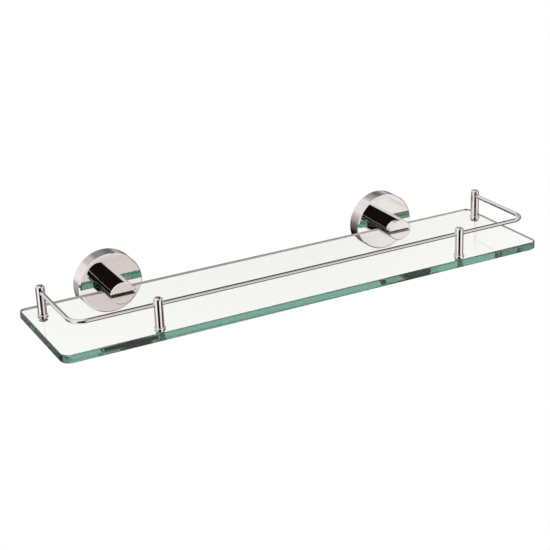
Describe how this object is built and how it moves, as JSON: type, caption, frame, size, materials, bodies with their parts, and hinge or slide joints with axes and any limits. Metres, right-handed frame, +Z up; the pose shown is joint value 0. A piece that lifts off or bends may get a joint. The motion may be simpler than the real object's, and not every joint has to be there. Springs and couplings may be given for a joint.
{
  "type": "wall shelf with brackets",
  "caption": "Bathroom wall shelf: a clear glass pane in slotted round chrome brackets, with a low chrome gallery rail on posts.",
  "frame": {"origin": "on the wall plane, midway between the two brackets, at the height of the arms' axes", "axes": "+X along the shelf to the right as seen from the room, +Y into the wall, +Z up"},
  "size_m": [0.5, 0.1501, 0.0668],
  "materials": {
    "chrome_plate": "bright polished chrome plate",
    "float_glass": "clear float glass, green at the polished edges",
    "plate_steel": "zinc-plated steel",
    "screw_steel": "plain stainless steel",
    "liner_plastic": "dark soft plastic",
    "sleeve_nylon": "natural nylon"
  },
  "bodies": {
    "root": {"glass_pane": "float_glass", "gallery_rail": "chrome_plate", "left_rosette_cover": "chrome_plate", "left_wall_plate": "plate_steel", "left_rosette_screw": "screw_steel", "left_arm": "chrome_plate", "left_arm_washer": "screw_steel", "left_arm_bolt": "screw_steel", "left_slot_liner": "liner_plastic", "left_clamp_screw": "screw_steel", "right_rosette_cover": "chrome_plate", "right_wall_plate": "plate_steel", "right_rosette_screw": "screw_steel", "right_arm": "chrome_plate", "right_arm_washer": "screw_steel", "right_arm_bolt": "screw_steel", "right_slot_liner": "liner_plastic", "right_clamp_screw": "screw_steel", "front_left_post": "chrome_plate", "front_left_post_foot": "chrome_plate", "front_left_post_seat": "liner_plastic", "front_left_post_sleeve": "sleeve_nylon", "front_left_post_screw": "screw_steel", "front_right_post": "chrome_plate", "front_right_post_foot": "chrome_plate", "front_right_post_seat": "liner_plastic", "front_right_post_sleeve": "sleeve_nylon", "front_right_post_screw": "screw_steel", "rear_left_post": "chrome_plate", "rear_left_post_foot": "chrome_plate", "rear_left_post_seat": "liner_plastic", "rear_left_post_sleeve": "sleeve_nylon", "rear_left_post_screw": "screw_steel", "rear_right_post": "chrome_plate", "rear_right_post_foot": "chrome_plate", "rear_right_post_seat": "liner_plastic", "rear_right_post_sleeve": "sleeve_nylon", "rear_right_post_screw": "screw_steel"}
  },
  "joints": []
}
